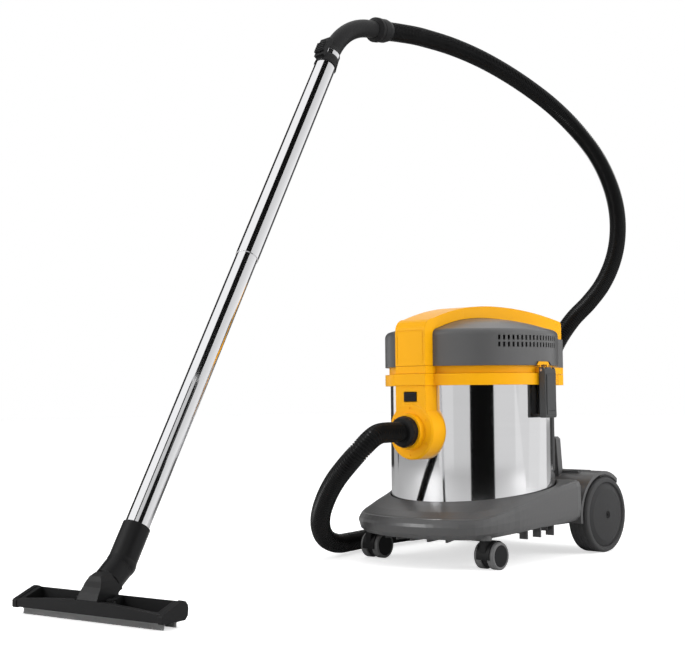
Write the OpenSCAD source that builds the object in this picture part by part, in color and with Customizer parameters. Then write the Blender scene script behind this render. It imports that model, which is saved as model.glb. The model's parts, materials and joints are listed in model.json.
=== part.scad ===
// Wheeled canister vacuum cleaner: steel drum on a chassis with casters, lift-off
// motor head, hose, bent handle, two-piece tube and floor head. Millimetres, +Z up,
// floor at z = 0, drum axis on Z, inlet facing -Y.

/* [Drum] */
// outer radius of the steel drum
drum_radius = 161; // [150:0.5:175]
// wall of the steel drum
drum_wall = 1.5; // [1:0.1:3]
// height of the drum's underside over the floor
drum_floor = 77; // [70:0.5:90]
// height of the drum's rim over the floor
drum_rim = 350; // [330:0.5:400]

/* [Lower ring] */
// outer radius of the yellow ring round the drum mouth
ring_radius = 171; // [166:0.5:185]
// height of the ring's lower edge
ring_bottom = 336; // [320:0.5:345]
// height of the ring's top face
ring_top = 358; // [352:0.5:410]
// half width of the front pad on ring and band
pad_half = 37; // [25:0.5:50]
// front face of the ring's pad, from the drum axis
pad_front = 193; // [185:0.5:205]
// half width of the rear block on ring, band and cover
block_half = 70; // [40:0.5:90]
// rear face of the rear block, from the drum axis
block_rear = 224; // [200:0.5:240]

/* [Motor head] */
// outer radius of the band under the cover
band_radius = 163; // [155:0.5:168]
// height of the band above the ring
band_height = 14.2; // [8:0.1:20]
// radius of the suction hole in the band's floor
suction_radius = 40; // [25:0.5:60]
// outer radius of the motor cover
cover_radius = 171; // [165:0.5:185]
// height of the cover's straight and rounded wall
cover_wall_height = 70.5; // [50:0.5:90]
// rounding of the cover's upper edge
cover_edge = 12; // [6:0.5:16]
// rise of the cover's crown over its wall
crown_rise = 27; // [10:0.5:35]
// shell thickness of the cover
cover_shell = 3; // [2:0.1:5]
// height of the rear block of the cover
cover_block_height = 58.5; // [40:0.5:70]
// vent slots in one row
vent_count = 17; // [8:1:24]
// angle from one vent slot to the next
vent_pitch = 3.23; // [2.5:0.01:4.5]
// direction of the first vent slot, from +X
vent_start = -35.3; // [-50:0.1:0]
// width of a vent slot
vent_width = 4.4; // [2:0.1:6]
// height of a vent slot
vent_height = 9; // [5:0.1:14]
// height of the upper vent row over the cover's lower edge
vent_upper = 52; // [40:0.1:56]
// height of the lower vent row over the cover's lower edge
vent_lower = 39; // [25:0.1:42]

/* [Arch] */
// half width of the arch at its front leg
arch_half = 36; // [24:0.5:45]
// front face of the arch's leg, from the drum axis
arch_front = 191; // [183:0.5:200]
// height of the arch's crest over the cover's lower edge
arch_crest = 119.3; // [105:0.1:140]
// place of the crest along Y
arch_peak = 10; // [-20:1:40]
// radius of the arch in front of the crest
arch_front_radius = 520; // [400:5:700]
// radius of the arch behind the crest
arch_rear_radius = 860; // [600:5:1200]
// rounding from the leg's front face into the arch
arch_corner = 26; // [12:0.5:40]

/* [Switch and button] */
// place of the switch along Y, on the arch
switch_place = 152; // [120:1:175]
// width of the switch
switch_width = 22; // [14:0.5:30]
// width of the inlet's release button
button_width = 29; // [18:0.5:40]
// height of the inlet's release button
button_height = 17; // [10:0.5:22]
// travel of the release button
button_travel = 3; // [1:0.1:5]

/* [Inlet] */
// height of the inlet's centre over the floor
inlet_height = 250; // [220:1:270]
// outer radius of the inlet drum
inlet_radius = 53; // [40:0.5:60]
// front face of the inlet drum, from the drum axis
inlet_front = 192; // [185:0.5:205]
// bore of the inlet
inlet_bore = 26; // [20:0.5:30]
// outer radius of the collar round the inlet
collar_radius = 33; // [29:0.5:38]
// how far the collar stands out of the inlet drum
collar_length = 12; // [5:0.5:20]
// outer radius of the hose connector
connector_radius = 28.5; // [27:0.5:32]
// length of the hose connector in front of the collar
connector_length = 18; // [10:0.5:40]

/* [Latches] */
// width of a latch lever
latch_width = 37; // [25:0.5:45]
// outer face of a latch lever, from the drum axis
latch_face = 186; // [180:0.5:192]
// height of the latch pivot over the floor
latch_pivot = 363.5; // [362:0.5:366]
// length of the lever below its pivot
latch_length = 90; // [60:0.5:110]

/* [Chassis] */
// radius of the chassis nose
nose_radius = 236; // [220:0.5:250]
// half width of the chassis
chassis_half = 170; // [168:0.5:176]
// rear end of the side panels, from the drum axis
panel_rear = 134; // [125:0.5:136]
// height of the skirt's lower edge at the nose
skirt_bottom = 54; // [53:0.5:60]
// rise of the skirt's lower edge along the sides
skirt_rise = 14; // [0:0.5:20]
// height of the chassis rim round the drum at the axis
rim_height = 136; // [125:0.5:150]
// top of the rear deck
deck_top = 162; // [158:0.5:168]
// rear end of the deck, from the drum axis
deck_rear = 268; // [255:0.5:280]
// gap between drum and chassis
drum_gap = 2.5; // [1:0.1:4]
// top of the rear post over the floor
post_top = 231; // [200:1:260]
// half width of the rear post at its foot
post_half = 88; // [60:0.5:95]
// radius of the accessory bores in the deck
holder_radius = 15; // [10:0.5:18]
// depth of the accessory bores
holder_depth = 60; // [30:1:80]

/* [Rear wheels] */
// radius of the rear wheels
wheel_radius = 75; // [70:0.5:76]
// width of the rear wheels
wheel_width = 45; // [35:0.5:46]
// outer face of the rear wheels, from the middle
wheel_face = 172; // [170:0.5:176]
// place of the rear axle along Y
axle_place = 216; // [214:0.5:222]
// radius of the rear axle
axle_radius = 8; // [5:0.5:10]
// radius of the wheel disc
disc_radius = 63.5; // [50:0.5:66]

/* [Casters] */
// radius of the caster wheels
caster_radius = 25; // [22:0.5:26]
// width of one caster wheel
caster_wheel_width = 15; // [10:0.5:17]
// outer face of the caster wheels, from the swivel axis
caster_face = 22; // [18:0.5:24]
// distance of the caster swivels from the middle
caster_x = 138; // [120:0.5:140]
// distance of the caster swivels in front of the axis
caster_y = 150; // [145:0.5:154]
// trail of the caster wheels
caster_trail = 18; // [12:0.5:22]
// radius of the caster stem
stem_radius = 5.5; // [4:0.1:7]

/* [Tube and hose] */
// outer radius of the lower tube
tube_radius = 19; // [17:0.1:21]
// wall of the tubes
tube_wall = 1.2; // [0.8:0.1:2]
// length of the lower tube
lower_tube_length = 600; // [400:5:700]
// length of the upper tube
upper_tube_length = 487; // [400:5:700]
// how far the lower tube enters the upper tube
tube_overlap = 47; // [30:1:80]
// outer radius of the hose over its ribs
hose_radius = 20.5; // [18:0.5:22]
// bore radius of the hose
hose_bore = 16.5; // [14:0.5:17]
// depth of a hose rib
rib_depth = 2; // [1:0.1:2.5]
// ribs along the hose
rib_count = 190; // [60:1:200]

/* [Handle] */
// outer radius of the bent handle
handle_radius = 17.5; // [16:0.5:20]
// bore radius of the bent handle
handle_bore = 15; // [12:0.5:15.5]
// bend radius of the handle
handle_bend = 180; // [120:5:240]
// angle of the handle's bend
handle_angle = 49.3; // [30:0.1:80]
// straight length of the handle below its bend
handle_foot = 32; // [20:1:60]
// straight length from the bend to the cuff's end
handle_nose = 61.5; // [45:0.5:90]
// outer radius of the cuff at the hose
cuff_radius = 23.5; // [22:0.5:28]

/* [Floor head] */
// length of the floor head
head_length = 293; // [250:1:400]
// depth of the floor head, front to rear
head_depth = 52; // [50:0.5:70]
// height of the head's rear rail over its lower edge
head_height = 25; // [22:0.5:30]
// height of the head's front rail at its ends, over its lower edge
head_front = 10; // [8:0.5:14]
// height of the frame's lower edge over the floor
head_clearance = 11.5; // [6:0.5:12]
// wall of the frame round the pockets
head_rail = 9; // [7:0.5:12]
// length of the end caps
cap_length = 8; // [6:0.5:14]

/* [Hidden] */
$fn = 96;
eps = 0.01;
run_gap = 0.05;
rest_gap = 0.3;

grey = [0.36, 0.36, 0.36];
yellow = [0.95, 0.62, 0.05];
orange = [0.9, 0.5, 0.06];
black = [0.05, 0.05, 0.05];
steel = [0.72, 0.72, 0.74];
chrome_grey = [0.85, 0.85, 0.87];
tyre_grey = [0.42, 0.42, 0.42];
bristle_grey = [0.4, 0.4, 0.4];

pocket_radius = drum_radius + drum_gap;
band_bottom = ring_top + rest_gap;
band_top = band_bottom + band_height;
cover_top = band_top + cover_wall_height;
cover_block_top = band_top + cover_block_height;
crest_z = band_top + arch_crest;
axle_z = wheel_radius;
wheel_inner = wheel_face - wheel_width;
well_inner = wheel_inner - 3;
fender_radius = deck_top - axle_z;
well_radius = wheel_radius + 5;
fender_reach = deck_rear - axle_place;
wheel_centre = (wheel_face + wheel_inner) / 2;
holder_x = 101;
holder_y = 196;
caster_top = skirt_bottom - 0.5;
caster_axle_radius = 3;
boss_radius = 12;
latch_inner = ring_radius + 1.5;
latch_pivot_x = 176;
switch_z = crest_z - pow(switch_place - arch_peak, 2) / (2 * arch_rear_radius) - 5;
switch_tilt = 9.4;
button_z = ring_bottom - 21;

// The wand stands on the floor head in a leaning plane of its own.
joint_point = [5, -868, 74];
wand_yaw = 10.4;
wand_lean = 33.1;
handle_turn = 8.4;
socket_top = 62;
tube_foot = 20;
tube_join = tube_foot + lower_tube_length;
tube_end = tube_join - tube_overlap + upper_tube_length;
handle_foot_z = tube_end - 31;
upper_tube_radius = tube_radius + tube_wall + 0.1;
head_yaw = 9.2;
head_pivot = [15.5, -918, 27];
neck_foot = [15.5, -918, 37.4];
head_bottom = head_clearance;
head_top = head_bottom + head_height;

// Points that the hose follows, from the handle's cuff to the inlet.
hose_route = [
    [-117.6, -110.9, 1052.2], [-119.0, -90.6, 1055.0], [-120.4, -70.4, 1057.8],
    [-124, -20, 1064], [-130, 30, 1069], [-135, 125, 1072], [-135, 220, 1066],
    [-128, 305, 1050], [-116, 390, 1024], [-98, 465, 988], [-75, 525, 940],
    [-47, 565, 880], [-26, 588, 815], [-12, 594, 750], [-4, 582, 685],
    [-2, 555, 625], [-6, 515, 570], [-14, 466, 525], [-26, 412, 482],
    [-42, 370, 425], [-60, 346, 350], [-84, 335, 270], [-115, 335, 190],
    [-150, 334, 120], [-190, 322, 60], [-224, 292, 27], [-244, 240, 22],
    [-250, 175, 22], [-250, 100, 22], [-248, 20, 22], [-240, -50, 22],
    [-228, -112, 22], [-211, -168, 25], [-190, -222, 40], [-165, -264, 65],
    [-138, -292, 96], [-105, -312, 130], [-70, -326, 162], [-36, -333, 190],
    [-10, -328, 216], [1, -308, 238], [1, -285, 248], [0, -262, 250],
    [0, -242, 250], [0, -222, 250]
];

// ---- shapes ------------------------------------------------------------------

function clamp01(t) = min(1, max(0, t));

// Plan radius of the chassis in the direction a, from the nose (-Y) round +X.
function plan_radius(a) =
    let (b = a > 180 ? 360 - a : a, p = 9 + 21 * clamp01((b - 60) / 40),
         s = abs(sin(a)) / chassis_half, r = max(0, -cos(a)) / panel_rear)
    max(pocket_radius + 6, pow(pow(1 / nose_radius, p) + pow(s, p) + pow(r, p), -1 / p));

function skirt_z(y) = skirt_bottom + skirt_rise * clamp01((y + 190) / 180);
function rim_z(y) = min(rim_height + 0.11 * y, deck_top - 12);
function crease_z(y) = min(max(93, 95 + 0.2 * (y + 164)), rim_z(y) - 3);

// One section of the skirt in the direction a, outside going up, inside down.
function skirt_section(a) =
    let (
        ro = plan_radius(a), ri = pocket_radius, g = ro - ri,
        yo = -ro * cos(a), yi = -ri * cos(a),
        zb = skirt_z(yo), zc = crease_z(yo), zr = rim_z(yi)
    )
    [
        [ro - 0.35 * g, zb], [ro - 0.20 * g, zb + 2], [ro - 0.06 * g, zb + 10],
        [ro, zb + 24], [ro - 0.02 * g, zc - 9], [ro - 0.09 * g, zc - 1],
        [ro - 0.15 * g, zc], [ro - 0.19 * g, zc + 2],
        [ro - 0.42 * g, zc + 0.42 * (zr - zc)], [ro - 0.75 * g, zc + 0.78 * (zr - zc)],
        [ri + 1.8, zr], [ri, zr - 1.5],
        [ri, drum_floor - 1], [ri + 2.5 + 0.4 * max(0, g - 12), drum_floor + 3],
        [ro - 0.35 * g - 3, zb]
    ];

module skirt_body() {
    n = 96;
    rows = [for (i = [0:n - 1]) skirt_section(i * 360 / n)];
    k = len(rows[0]);
    points = [for (i = [0:n - 1]) for (p = rows[i])
        [p[0] * sin(i * 360 / n), -p[0] * cos(i * 360 / n), p[1]]];
    faces = [for (i = [0:n - 1]) for (j = [0:k - 1])
        let (a = i * k + j, b = i * k + (j + 1) % k,
             c = ((i + 1) % n) * k + (j + 1) % k, d = ((i + 1) % n) * k + j)
        each [[a, b, c], [a, c, d]]];
    polyhedron(points, faces, convexity = 6);
}

module at_wand() {
    translate(joint_point) rotate([0, 0, wand_yaw]) rotate([-wand_lean, 0, 0]) children();
}

module at_handle() {
    at_wand() translate([0, 0, handle_foot_z]) rotate([0, 0, -handle_turn]) children();
}

// From the handle's foot to the end of its bend, Z along the outgoing tube.
module at_bend_end() {
    at_handle() translate([0, 0, handle_foot])
        translate([0, handle_bend * (1 - cos(handle_angle)), handle_bend * sin(handle_angle)])
            rotate([-handle_angle, 0, 0]) children();
}

module at_head() {
    translate([head_pivot[0], head_pivot[1], 0]) rotate([0, 0, head_yaw]) children();
}

module along_y(y) {
    translate([0, y, 0]) rotate([90, 0, 0]) children();
}

module mirror_pair() {
    children();
    mirror([1, 0, 0]) children();
}

module front_pad(z0, z1, half, front) {
    translate([-half, -front, z0]) cube([2 * half, front - 140, z1 - z0]);
}

module rear_block(z0, z1) {
    translate([-block_half, 120, z0]) cube([2 * block_half, block_rear - 120, z1 - z0]);
}

// ---- drum and ring -----------------------------------------------------------

module drum() {
    color(steel) difference() {
        rotate_extrude() polygon([
            [0, drum_floor], [drum_radius - 6, drum_floor], [drum_radius, drum_floor + 6],
            [drum_radius, drum_rim], [drum_radius - drum_wall, drum_rim],
            [drum_radius - drum_wall, drum_floor + 6 + drum_wall],
            [drum_radius - 6 - drum_wall, drum_floor + drum_wall], [0, drum_floor + drum_wall]
        ]);
        translate([0, 0, inlet_height]) along_y(-drum_radius + 20)
            cylinder(r = inlet_bore + 1, h = 40);
    }
}

module lower_ring() {
    color(yellow) difference() {
        union() {
            translate([0, 0, ring_bottom]) cylinder(r = ring_radius, h = ring_top - ring_bottom);
            front_pad(ring_bottom, ring_top, pad_half, pad_front);
            rear_block(ring_bottom, ring_top);
        }
        translate([0, 0, ring_bottom - 1]) cylinder(r = drum_radius + rest_gap, h = drum_rim - ring_bottom + 1);
        translate([0, 0, drum_rim - 1]) cylinder(r = drum_radius - 6, h = ring_top - drum_rim + 2);
    }
}

module inlet_housing() {
    color(yellow) difference() {
        union() {
            translate([-pad_half + 1, -inlet_front + 1, inlet_height + 20])
                cube([2 * pad_half - 2, 60, ring_bottom - inlet_height - 20]);
            translate([0, 0, inlet_height]) along_y(-140)
                cylinder(r = inlet_radius, h = inlet_front - 140 - 3);
            translate([0, 0, inlet_height]) along_y(-inlet_front + 3)
                cylinder(r1 = inlet_radius, r2 = inlet_radius - 3, h = 3);
            translate([0, 0, inlet_height]) along_y(-inlet_front + 1)
                cylinder(r1 = collar_radius + 2, r2 = collar_radius, h = collar_length + 1);
        }
        translate([0, 0, ring_bottom - 200]) cylinder(r = drum_radius + rest_gap, h = 220);
        translate([0, 0, inlet_height]) along_y(-120) cylinder(r = inlet_bore, h = 120);
        for (i = [0:5]) translate([0, 0, inlet_height]) along_y(-inlet_front + 1)
            rotate([0, 0, 30 + 60 * i]) translate([inlet_radius - 9, 0, 0]) cylinder(r = 2, h = 3, $fn = 24);
        translate([-button_width / 2 - 1, -inlet_front - 1, button_z - button_height / 2 - 1])
            cube([button_width + 2, 14, button_height + 2]);
        translate([0, 0, button_z]) along_y(-inlet_front + 25) cylinder(r = 4 + run_gap, h = 20, $fn = 48);
    }
}

module inlet_button() {
    color(black) union() {
        translate([-button_width / 2, -inlet_front - 1, button_z - button_height / 2])
            cube([button_width, 7, button_height]);
        translate([0, 0, button_z]) along_y(-inlet_front + 20) cylinder(r = 4, h = 16, $fn = 48);
        for (i = [-1:1]) translate([-button_width / 2 + 4, -inlet_front - 1.8, button_z + 4 * i - 0.8])
            cube([button_width - 8, 1, 1.6]);
    }
}

module hose_connector() {
    start = inlet_front + collar_length;
    color(black) difference() {
        union() {
            translate([0, 0, inlet_height]) along_y(-start) cylinder(r = connector_radius, h = connector_length - 6);
            translate([0, 0, inlet_height]) along_y(-start - connector_length + 6)
                cylinder(r1 = connector_radius, r2 = connector_radius - 3.5, h = 6);
            translate([0, 0, inlet_height]) along_y(-drum_radius + 8)
                cylinder(r = inlet_bore - run_gap, h = start - drum_radius + 9);
            for (i = [0:7]) translate([0, 0, inlet_height]) along_y(-start - 2) rotate([0, 0, 45 * i])
                translate([connector_radius - 0.8, -2.5, 0]) cube([1.8, 5, connector_length - 9]);
        }
        translate([0, 0, inlet_height]) along_y(-100) cylinder(r = hose_bore, h = 200);
    }
}

// ---- hose --------------------------------------------------------------------

function spline_point(a, b, c, d, t) =
    0.5 * ((2 * b) + (c - a) * t + (2 * a - 5 * b + 4 * c - d) * t * t
        + (3 * b - a - 3 * c + d) * t * t * t);

function spline(q, steps) = let (n = len(q)) [
    for (i = [0:n - 2]) for (s = [0:steps - 1])
        spline_point(q[max(0, i - 1)], q[i], q[i + 1], q[min(n - 1, i + 2)], s / steps),
    q[n - 1]
];

function running(q) = [for (i = 0, s = 0; i < len(q);
    s = s + (i < len(q) - 1 ? norm(q[i + 1] - q[i]) : 0), i = i + 1) s];

hose_line = spline(hose_route, 8);
hose_run = running(hose_line);
hose_length = hose_run[len(hose_run) - 1];
table_x = [for (i = [0:len(hose_line) - 1]) [hose_run[i], hose_line[i][0]]];
table_y = [for (i = [0:len(hose_line) - 1]) [hose_run[i], hose_line[i][1]]];
table_z = [for (i = [0:len(hose_line) - 1]) [hose_run[i], hose_line[i][2]]];
function hose_at(s) = [lookup(s, table_x), lookup(s, table_y), lookup(s, table_z)];
function unit(v) = v / norm(v);
function hose_dir(s) = unit(hose_at(min(hose_length, s + 4)) - hose_at(max(0, s - 4)));
function level(v, t) = unit(v - (v * t) * t);

// Rings along the line with a frame that never twists.
function frames(st) = [for (i = 0, t = hose_dir(st[0]), n = level([1, 0, 0], t); i < len(st);
    i = i + 1, t = hose_dir(st[min(i, len(st) - 1)]), n = level(n, t)) [hose_at(st[i]), n, cross(t, n)]];

function ring_points(f, r, sides) = [for (j = [0:sides - 1])
    f[0] + r * (cos(j * 360 / sides) * f[1] + sin(j * 360 / sides) * f[2])];

module hose_tube() {
    sides = 8;
    outer_n = 2 * rib_count;
    inner_n = 90;
    st_out = [for (i = [0:outer_n]) hose_length * i / outer_n];
    st_in = [for (i = [0:inner_n]) hose_length * i / inner_n];
    fo = frames(st_out);
    fi = frames(st_in);
    scale8 = 1 / cos(180 / sides);
    outer = [for (i = [0:outer_n]) each ring_points(fo[i],
        hose_radius - ((i % 2 == 0) ? rib_depth : 0), sides)];
    inner = [for (i = [0:inner_n]) each ring_points(fi[i], hose_bore, sides)];
    base = len(outer);
    of = [for (i = [0:outer_n - 1]) for (j = [0:sides - 1])
        let (a = i * sides + j, b = i * sides + (j + 1) % sides, c = b + sides, d = a + sides)
        each [[a, c, b], [a, d, c]]];
    inf = [for (i = [0:inner_n - 1]) for (j = [0:sides - 1])
        let (a = base + i * sides + j, b = base + i * sides + (j + 1) % sides, c = b + sides, d = a + sides)
        each [[a, b, c], [a, c, d]]];
    f0 = [for (j = [0:sides - 1]) let (a = j, b = (j + 1) % sides, c = base + b, d = base + a)
        each [[a, b, c], [a, c, d]]];
    lo = outer_n * sides;
    li = base + inner_n * sides;
    f1 = [for (j = [0:sides - 1]) let (a = lo + j, b = lo + (j + 1) % sides, c = li + (j + 1) % sides, d = li + j)
        each [[a, c, b], [a, d, c]]];
    polyhedron(concat(outer, inner), concat(of, inf, f0, f1), convexity = 20);
}

probe = [for (i = [0:120]) hose_at(hose_length * i / 120)];
least_gap = min([for (i = [0:120]) for (j = [i + 6:1:120]) norm(probe[i] - probe[j])]) - 2 * hose_radius;
echo(hose_length = hose_length, least_gap_to_itself = least_gap);

module hose() {
    color(black) hose_tube();
}

module hose_cuff() {
    start = handle_nose - 46;
    color(black) at_bend_end() difference() {
        union() {
            translate([0, 0, start]) cylinder(r1 = handle_radius + 0.5, r2 = cuff_radius + 1, h = 7);
            translate([0, 0, start + 7]) cylinder(r = cuff_radius + 1, h = 8);
            translate([0, 0, start + 15]) cylinder(r = cuff_radius - 0.8, h = 3);
            translate([0, 0, start + 18]) cylinder(r = cuff_radius, h = 17);
            translate([0, 0, start + 35]) cylinder(r1 = cuff_radius, r2 = hose_radius + 0.5, h = 11);
        }
        translate([0, 0, -1]) cylinder(r = handle_radius, h = start + 20);
        translate([0, 0, -1]) cylinder(r = hose_bore, h = handle_nose + 2);
    }
}

// ---- wand --------------------------------------------------------------------

module handle_bend_solid(r) {
    at_handle() translate([0, 0, handle_foot]) translate([0, handle_bend, 0]) rotate([0, -90, 0])
        rotate([0, 0, -90]) rotate_extrude(angle = handle_angle) translate([handle_bend, 0]) circle(r = r);
}

module bent_handle() {
    cut = handle_nose - 46 + 18;
    color(black) difference() {
        union() {
            at_handle() cylinder(r1 = upper_tube_radius + 1.6, r2 = handle_radius + 2, h = handle_foot);
            handle_bend_solid(handle_radius);
            at_handle() translate([0, 0, handle_foot]) cylinder(r1 = handle_radius + 2, r2 = handle_radius - 3, h = 26);
            at_bend_end() translate([0, 0, -1]) cylinder(r = handle_radius - 0.3, h = cut + 1);
            at_handle() translate([-11, -handle_radius - 8, 8]) cube([22, 14, 44]);
        }
        at_handle() translate([-3.5, -handle_radius - 9, 34]) cube([7, 20, 13]);
        at_handle() translate([-3.5, -handle_radius - 9, 14]) cube([7, 5, 33]);
        at_handle() translate([0, 0, -1]) cylinder(r = upper_tube_radius, h = 32);
        at_handle() translate([0, 0, 30]) cylinder(r = handle_bore - 0.5, h = handle_foot - 29);
        handle_bend_solid(handle_bore);
        at_bend_end() translate([0, 0, -0.5]) cylinder(r = handle_bore + 0.5, h = cut + 2);
    }
}

module air_slider() {
    color(black) at_handle() union() {
        translate([-11.5, -handle_radius - 11.4, 16]) cube([23, 3, 24]);
        translate([-3.1, -handle_radius - 9.4, 15]) cube([6.2, 4.9, 20]);
        for (i = [0:3]) translate([-10, -handle_radius - 13, 19 + 5.4 * i]) cube([20, 2, 2.4]);
    }
}

module upper_tube() {
    color(chrome_grey) at_wand() translate([0, 0, tube_join - tube_overlap]) difference() {
        cylinder(r = upper_tube_radius, h = upper_tube_length);
        translate([0, 0, -1]) cylinder(r = upper_tube_radius - tube_wall, h = upper_tube_length + 2);
    }
}

module lower_tube() {
    color(chrome_grey) at_wand() translate([0, 0, tube_foot]) difference() {
        cylinder(r = tube_radius, h = lower_tube_length);
        translate([0, 0, -1]) cylinder(r = tube_radius - tube_wall, h = lower_tube_length + 2);
    }
}

// ---- floor head --------------------------------------------------------------

neck_vector = neck_foot - joint_point;
neck_length = norm(neck_vector);
neck_heading = atan2(neck_vector[0], -neck_vector[1]);
neck_drop = acos(-neck_vector[2] / neck_length);

// Z runs from the neck's foot to the wand's joint.
module at_neck() {
    translate(neck_foot) rotate([0, 0, neck_heading]) rotate([-neck_drop, 0, 0]) children();
}

neck_cut = neck_length - 9;
neck_start = 26;
elbow_radius = 22.5;

module elbow_socket() {
    color(black) difference() {
        union() {
            at_wand() cylinder(r1 = elbow_radius - 1, r2 = tube_radius + 2.4, h = socket_top);
            translate(joint_point) sphere(r = elbow_radius);
            at_neck() translate([0, 0, neck_cut]) cylinder(r = elbow_radius - 1, h = neck_length - neck_cut);
        }
        at_neck() translate([0, 0, -60]) cylinder(r = 60, h = 60 + neck_cut);
        at_wand() translate([0, 0, tube_foot]) cylinder(r = tube_radius, h = socket_top);
        at_wand() cylinder(r = 15, h = tube_foot);
        at_neck() translate([0, 0, neck_cut - 1]) cylinder(r = 15.6, h = 10);
        translate(joint_point) sphere(r = 16);
    }
}

// Along the head's length, from the middle of the pivot.
module at_pivot() {
    translate(head_pivot) rotate([0, 0, head_yaw]) rotate([0, 90, 0]) children();
}

module swivel_neck() {
    color(black) difference() {
        union() {
            at_neck() translate([0, 0, neck_start]) cylinder(r = elbow_radius - 1, h = neck_cut - 0.3 - neck_start);
            at_neck() translate([0, 0, neck_cut - 1]) cylinder(r = 15.5, h = 7);
            at_pivot() translate([0, 0, -20]) cylinder(r = 12, h = 40);
            intersection() {
                at_head() translate([-20, 0, head_pivot[2]]) rotate([90, 0, 90]) linear_extrude(40) polygon([
                    [-11, -5], [-22, 0], [-22, 4], [-18, 14], [-14, 22], [-12, 30], [-9.5, 37], [-5, 42], [2, 43.5],
                    [12, 42], [28, 30], [30, 15], [26.5, 14], [23, 11.5], [21.5, 6], [21.5, 0], [11, -5]
                ]);
                at_head() translate([0, 40, 0]) rotate([90, 0, 0]) linear_extrude(80) polygon([
                    [-20, 10], [-20, 31], [-17.5, 42], [-13, 54], [-6.5, 63.5], [0, 69], [9, 69.5], [15, 65],
                    [19, 57], [20, 48], [20, 10]
                ]);
            }
        }
        at_neck() cylinder(r = 13, h = neck_length + 10);
        at_head() cylinder(r = 8.5, h = neck_foot[2] + 2);
        at_pivot() translate([0, 0, -40]) cylinder(r = 4 + run_gap, h = 80, $fn = 48);
    }
}

module head_profile() {
    d = head_depth / 2;
    polygon([
        [-d + 1, head_bottom], [-d, head_bottom + 1], [-d, head_bottom + head_front - 1],
        [-d + 1.5, head_bottom + head_front + 0.5], [d - 14, head_top - 1], [d - 10, head_top],
        [d - 5, head_top - 1.5], [d - 1, head_top - 6], [d, head_top - 11], [d - 1, head_bottom + 5],
        [d - 6, head_bottom]
    ]);
}

module head_body() {
    len0 = head_length - 2 * cap_length;
    half = len0 / 2;
    pocket = half - 34 - head_rail;
    rise = head_bottom + head_front;
    color(black) difference() {
        union() {
            at_head() rotate([90, 0, 90]) translate([0, 0, -half]) linear_extrude(len0) head_profile();
            at_head() translate([0, -head_depth / 2 + head_rail, 0]) rotate([90, 0, 0]) linear_extrude(head_rail) polygon([
                [-half, head_bottom + 2], [-half, rise + 2], [-0.6 * half, rise + 6.5], [-0.25 * half, rise + 9.3],
                [0.25 * half, rise + 9.3], [0.6 * half, rise + 6.5], [half, rise + 2], [half, head_bottom + 2]
            ]);
            for (s = [-1, 1]) at_head() translate([s * 29.2 - 4.7, -9, head_bottom + 1])
                cube([9.4, 24, head_pivot[2] + 6 - head_bottom - 1]);
        }
        for (s = [-1, 1]) at_head() translate([s * (34 + pocket / 2) - pocket / 2, -head_depth / 2 + head_rail, head_bottom + 6])
            cube([pocket, head_depth - 2 * head_rail, 60]);
        at_head() translate([-24.5, -23.5, head_bottom + 2]) cube([49, 47, 60]);
        at_head() translate([-24.5, 20, head_pivot[2] - 4]) cube([49, 20, 30]);
        at_head() translate([-head_length / 2 + 30, -7, head_bottom - 1]) cube([head_length - 60, 14, 3.5]);
        at_head() translate([-20, -12, head_bottom - 1]) cube([40, 24, 10]);
        at_pivot() translate([0, 0, -60]) cylinder(r = 4, h = 120, $fn = 48);
    }
}

module head_pin() {
    color(steel) at_pivot() translate([0, 0, -33]) cylinder(r = 4, h = 66, $fn = 48);
}

module end_cap(s) {
    x0 = head_length / 2 - cap_length;
    color(black) at_head() rotate([90, 0, 90]) translate([0, 0, s > 0 ? x0 : -head_length / 2])
        linear_extrude(cap_length) offset(r = 1.2, $fn = 24) head_profile();
}

module head_cap_left() {
    end_cap(-1);
}

module head_cap_right() {
    end_cap(1);
}

module bristle_strip(y) {
    len0 = head_length - 2 * cap_length - 0.6;
    count = 60;
    pitch = len0 / count;
    color(bristle_grey) at_head() union() {
        translate([-len0 / 2, y - 2, head_bottom - 4]) cube([len0, 4, 4]);
        for (i = [0:count - 1]) translate([-len0 / 2 + pitch * i + 0.3, y - 1.5, 0])
            cube([pitch - 0.6, 3, head_bottom - 3.9]);
    }
}

module bristle_front() {
    bristle_strip(-12);
}

module bristle_rear() {
    bristle_strip(12);
}

// ---- motor head --------------------------------------------------------------

module motor_band() {
    color(yellow) difference() {
        union() {
            translate([0, 0, band_bottom]) cylinder(r = band_radius, h = band_height);
            front_pad(band_bottom, band_top, pad_half - 0.5, pad_front - 3);
            rear_block(band_bottom, band_top);
            mirror_pair() translate([band_radius - 6, -latch_width / 2 + 4, band_bottom])
                cube([latch_pivot_x - band_radius + 10, latch_width - 8, band_height - 4]);
            mirror_pair() translate([cover_radius - 1.6, 0, band_top]) rotate([90, 0, 90]) linear_extrude(2)
                polygon([[-21.5, 0.1], [-16, 7.2], [14, 7.2], [19.5, 0.1]]);
            mirror_pair() for (s = [-1, 1]) translate([cover_radius - 1.6, s * 12 - 2.2, band_top - 5])
                cube([2, 4.4, 6]);
        }
        translate([0, 0, band_bottom - 1]) cylinder(r = suction_radius, h = 20);
        translate([0, 0, band_bottom + 6]) cylinder(r = band_radius - 4, h = band_height);
        mirror_pair() translate([latch_pivot_x, -40, latch_pivot]) rotate([-90, 0, 0])
            cylinder(r = 3 + run_gap, h = 80, $fn = 48);
        mirror_pair() translate([latch_pivot_x - 7.5, -latch_width / 2 + 9, band_bottom - 1])
            cube([20, latch_width - 18, band_height + 2]);
    }
}

module gasket() {
    color(black) translate([0, 0, drum_rim + 2]) difference() {
        cylinder(r = drum_radius - 6.6, h = band_bottom - drum_rim - 2);
        translate([0, 0, -1]) cylinder(r = drum_radius - 12, h = 12);
    }
}

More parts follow.
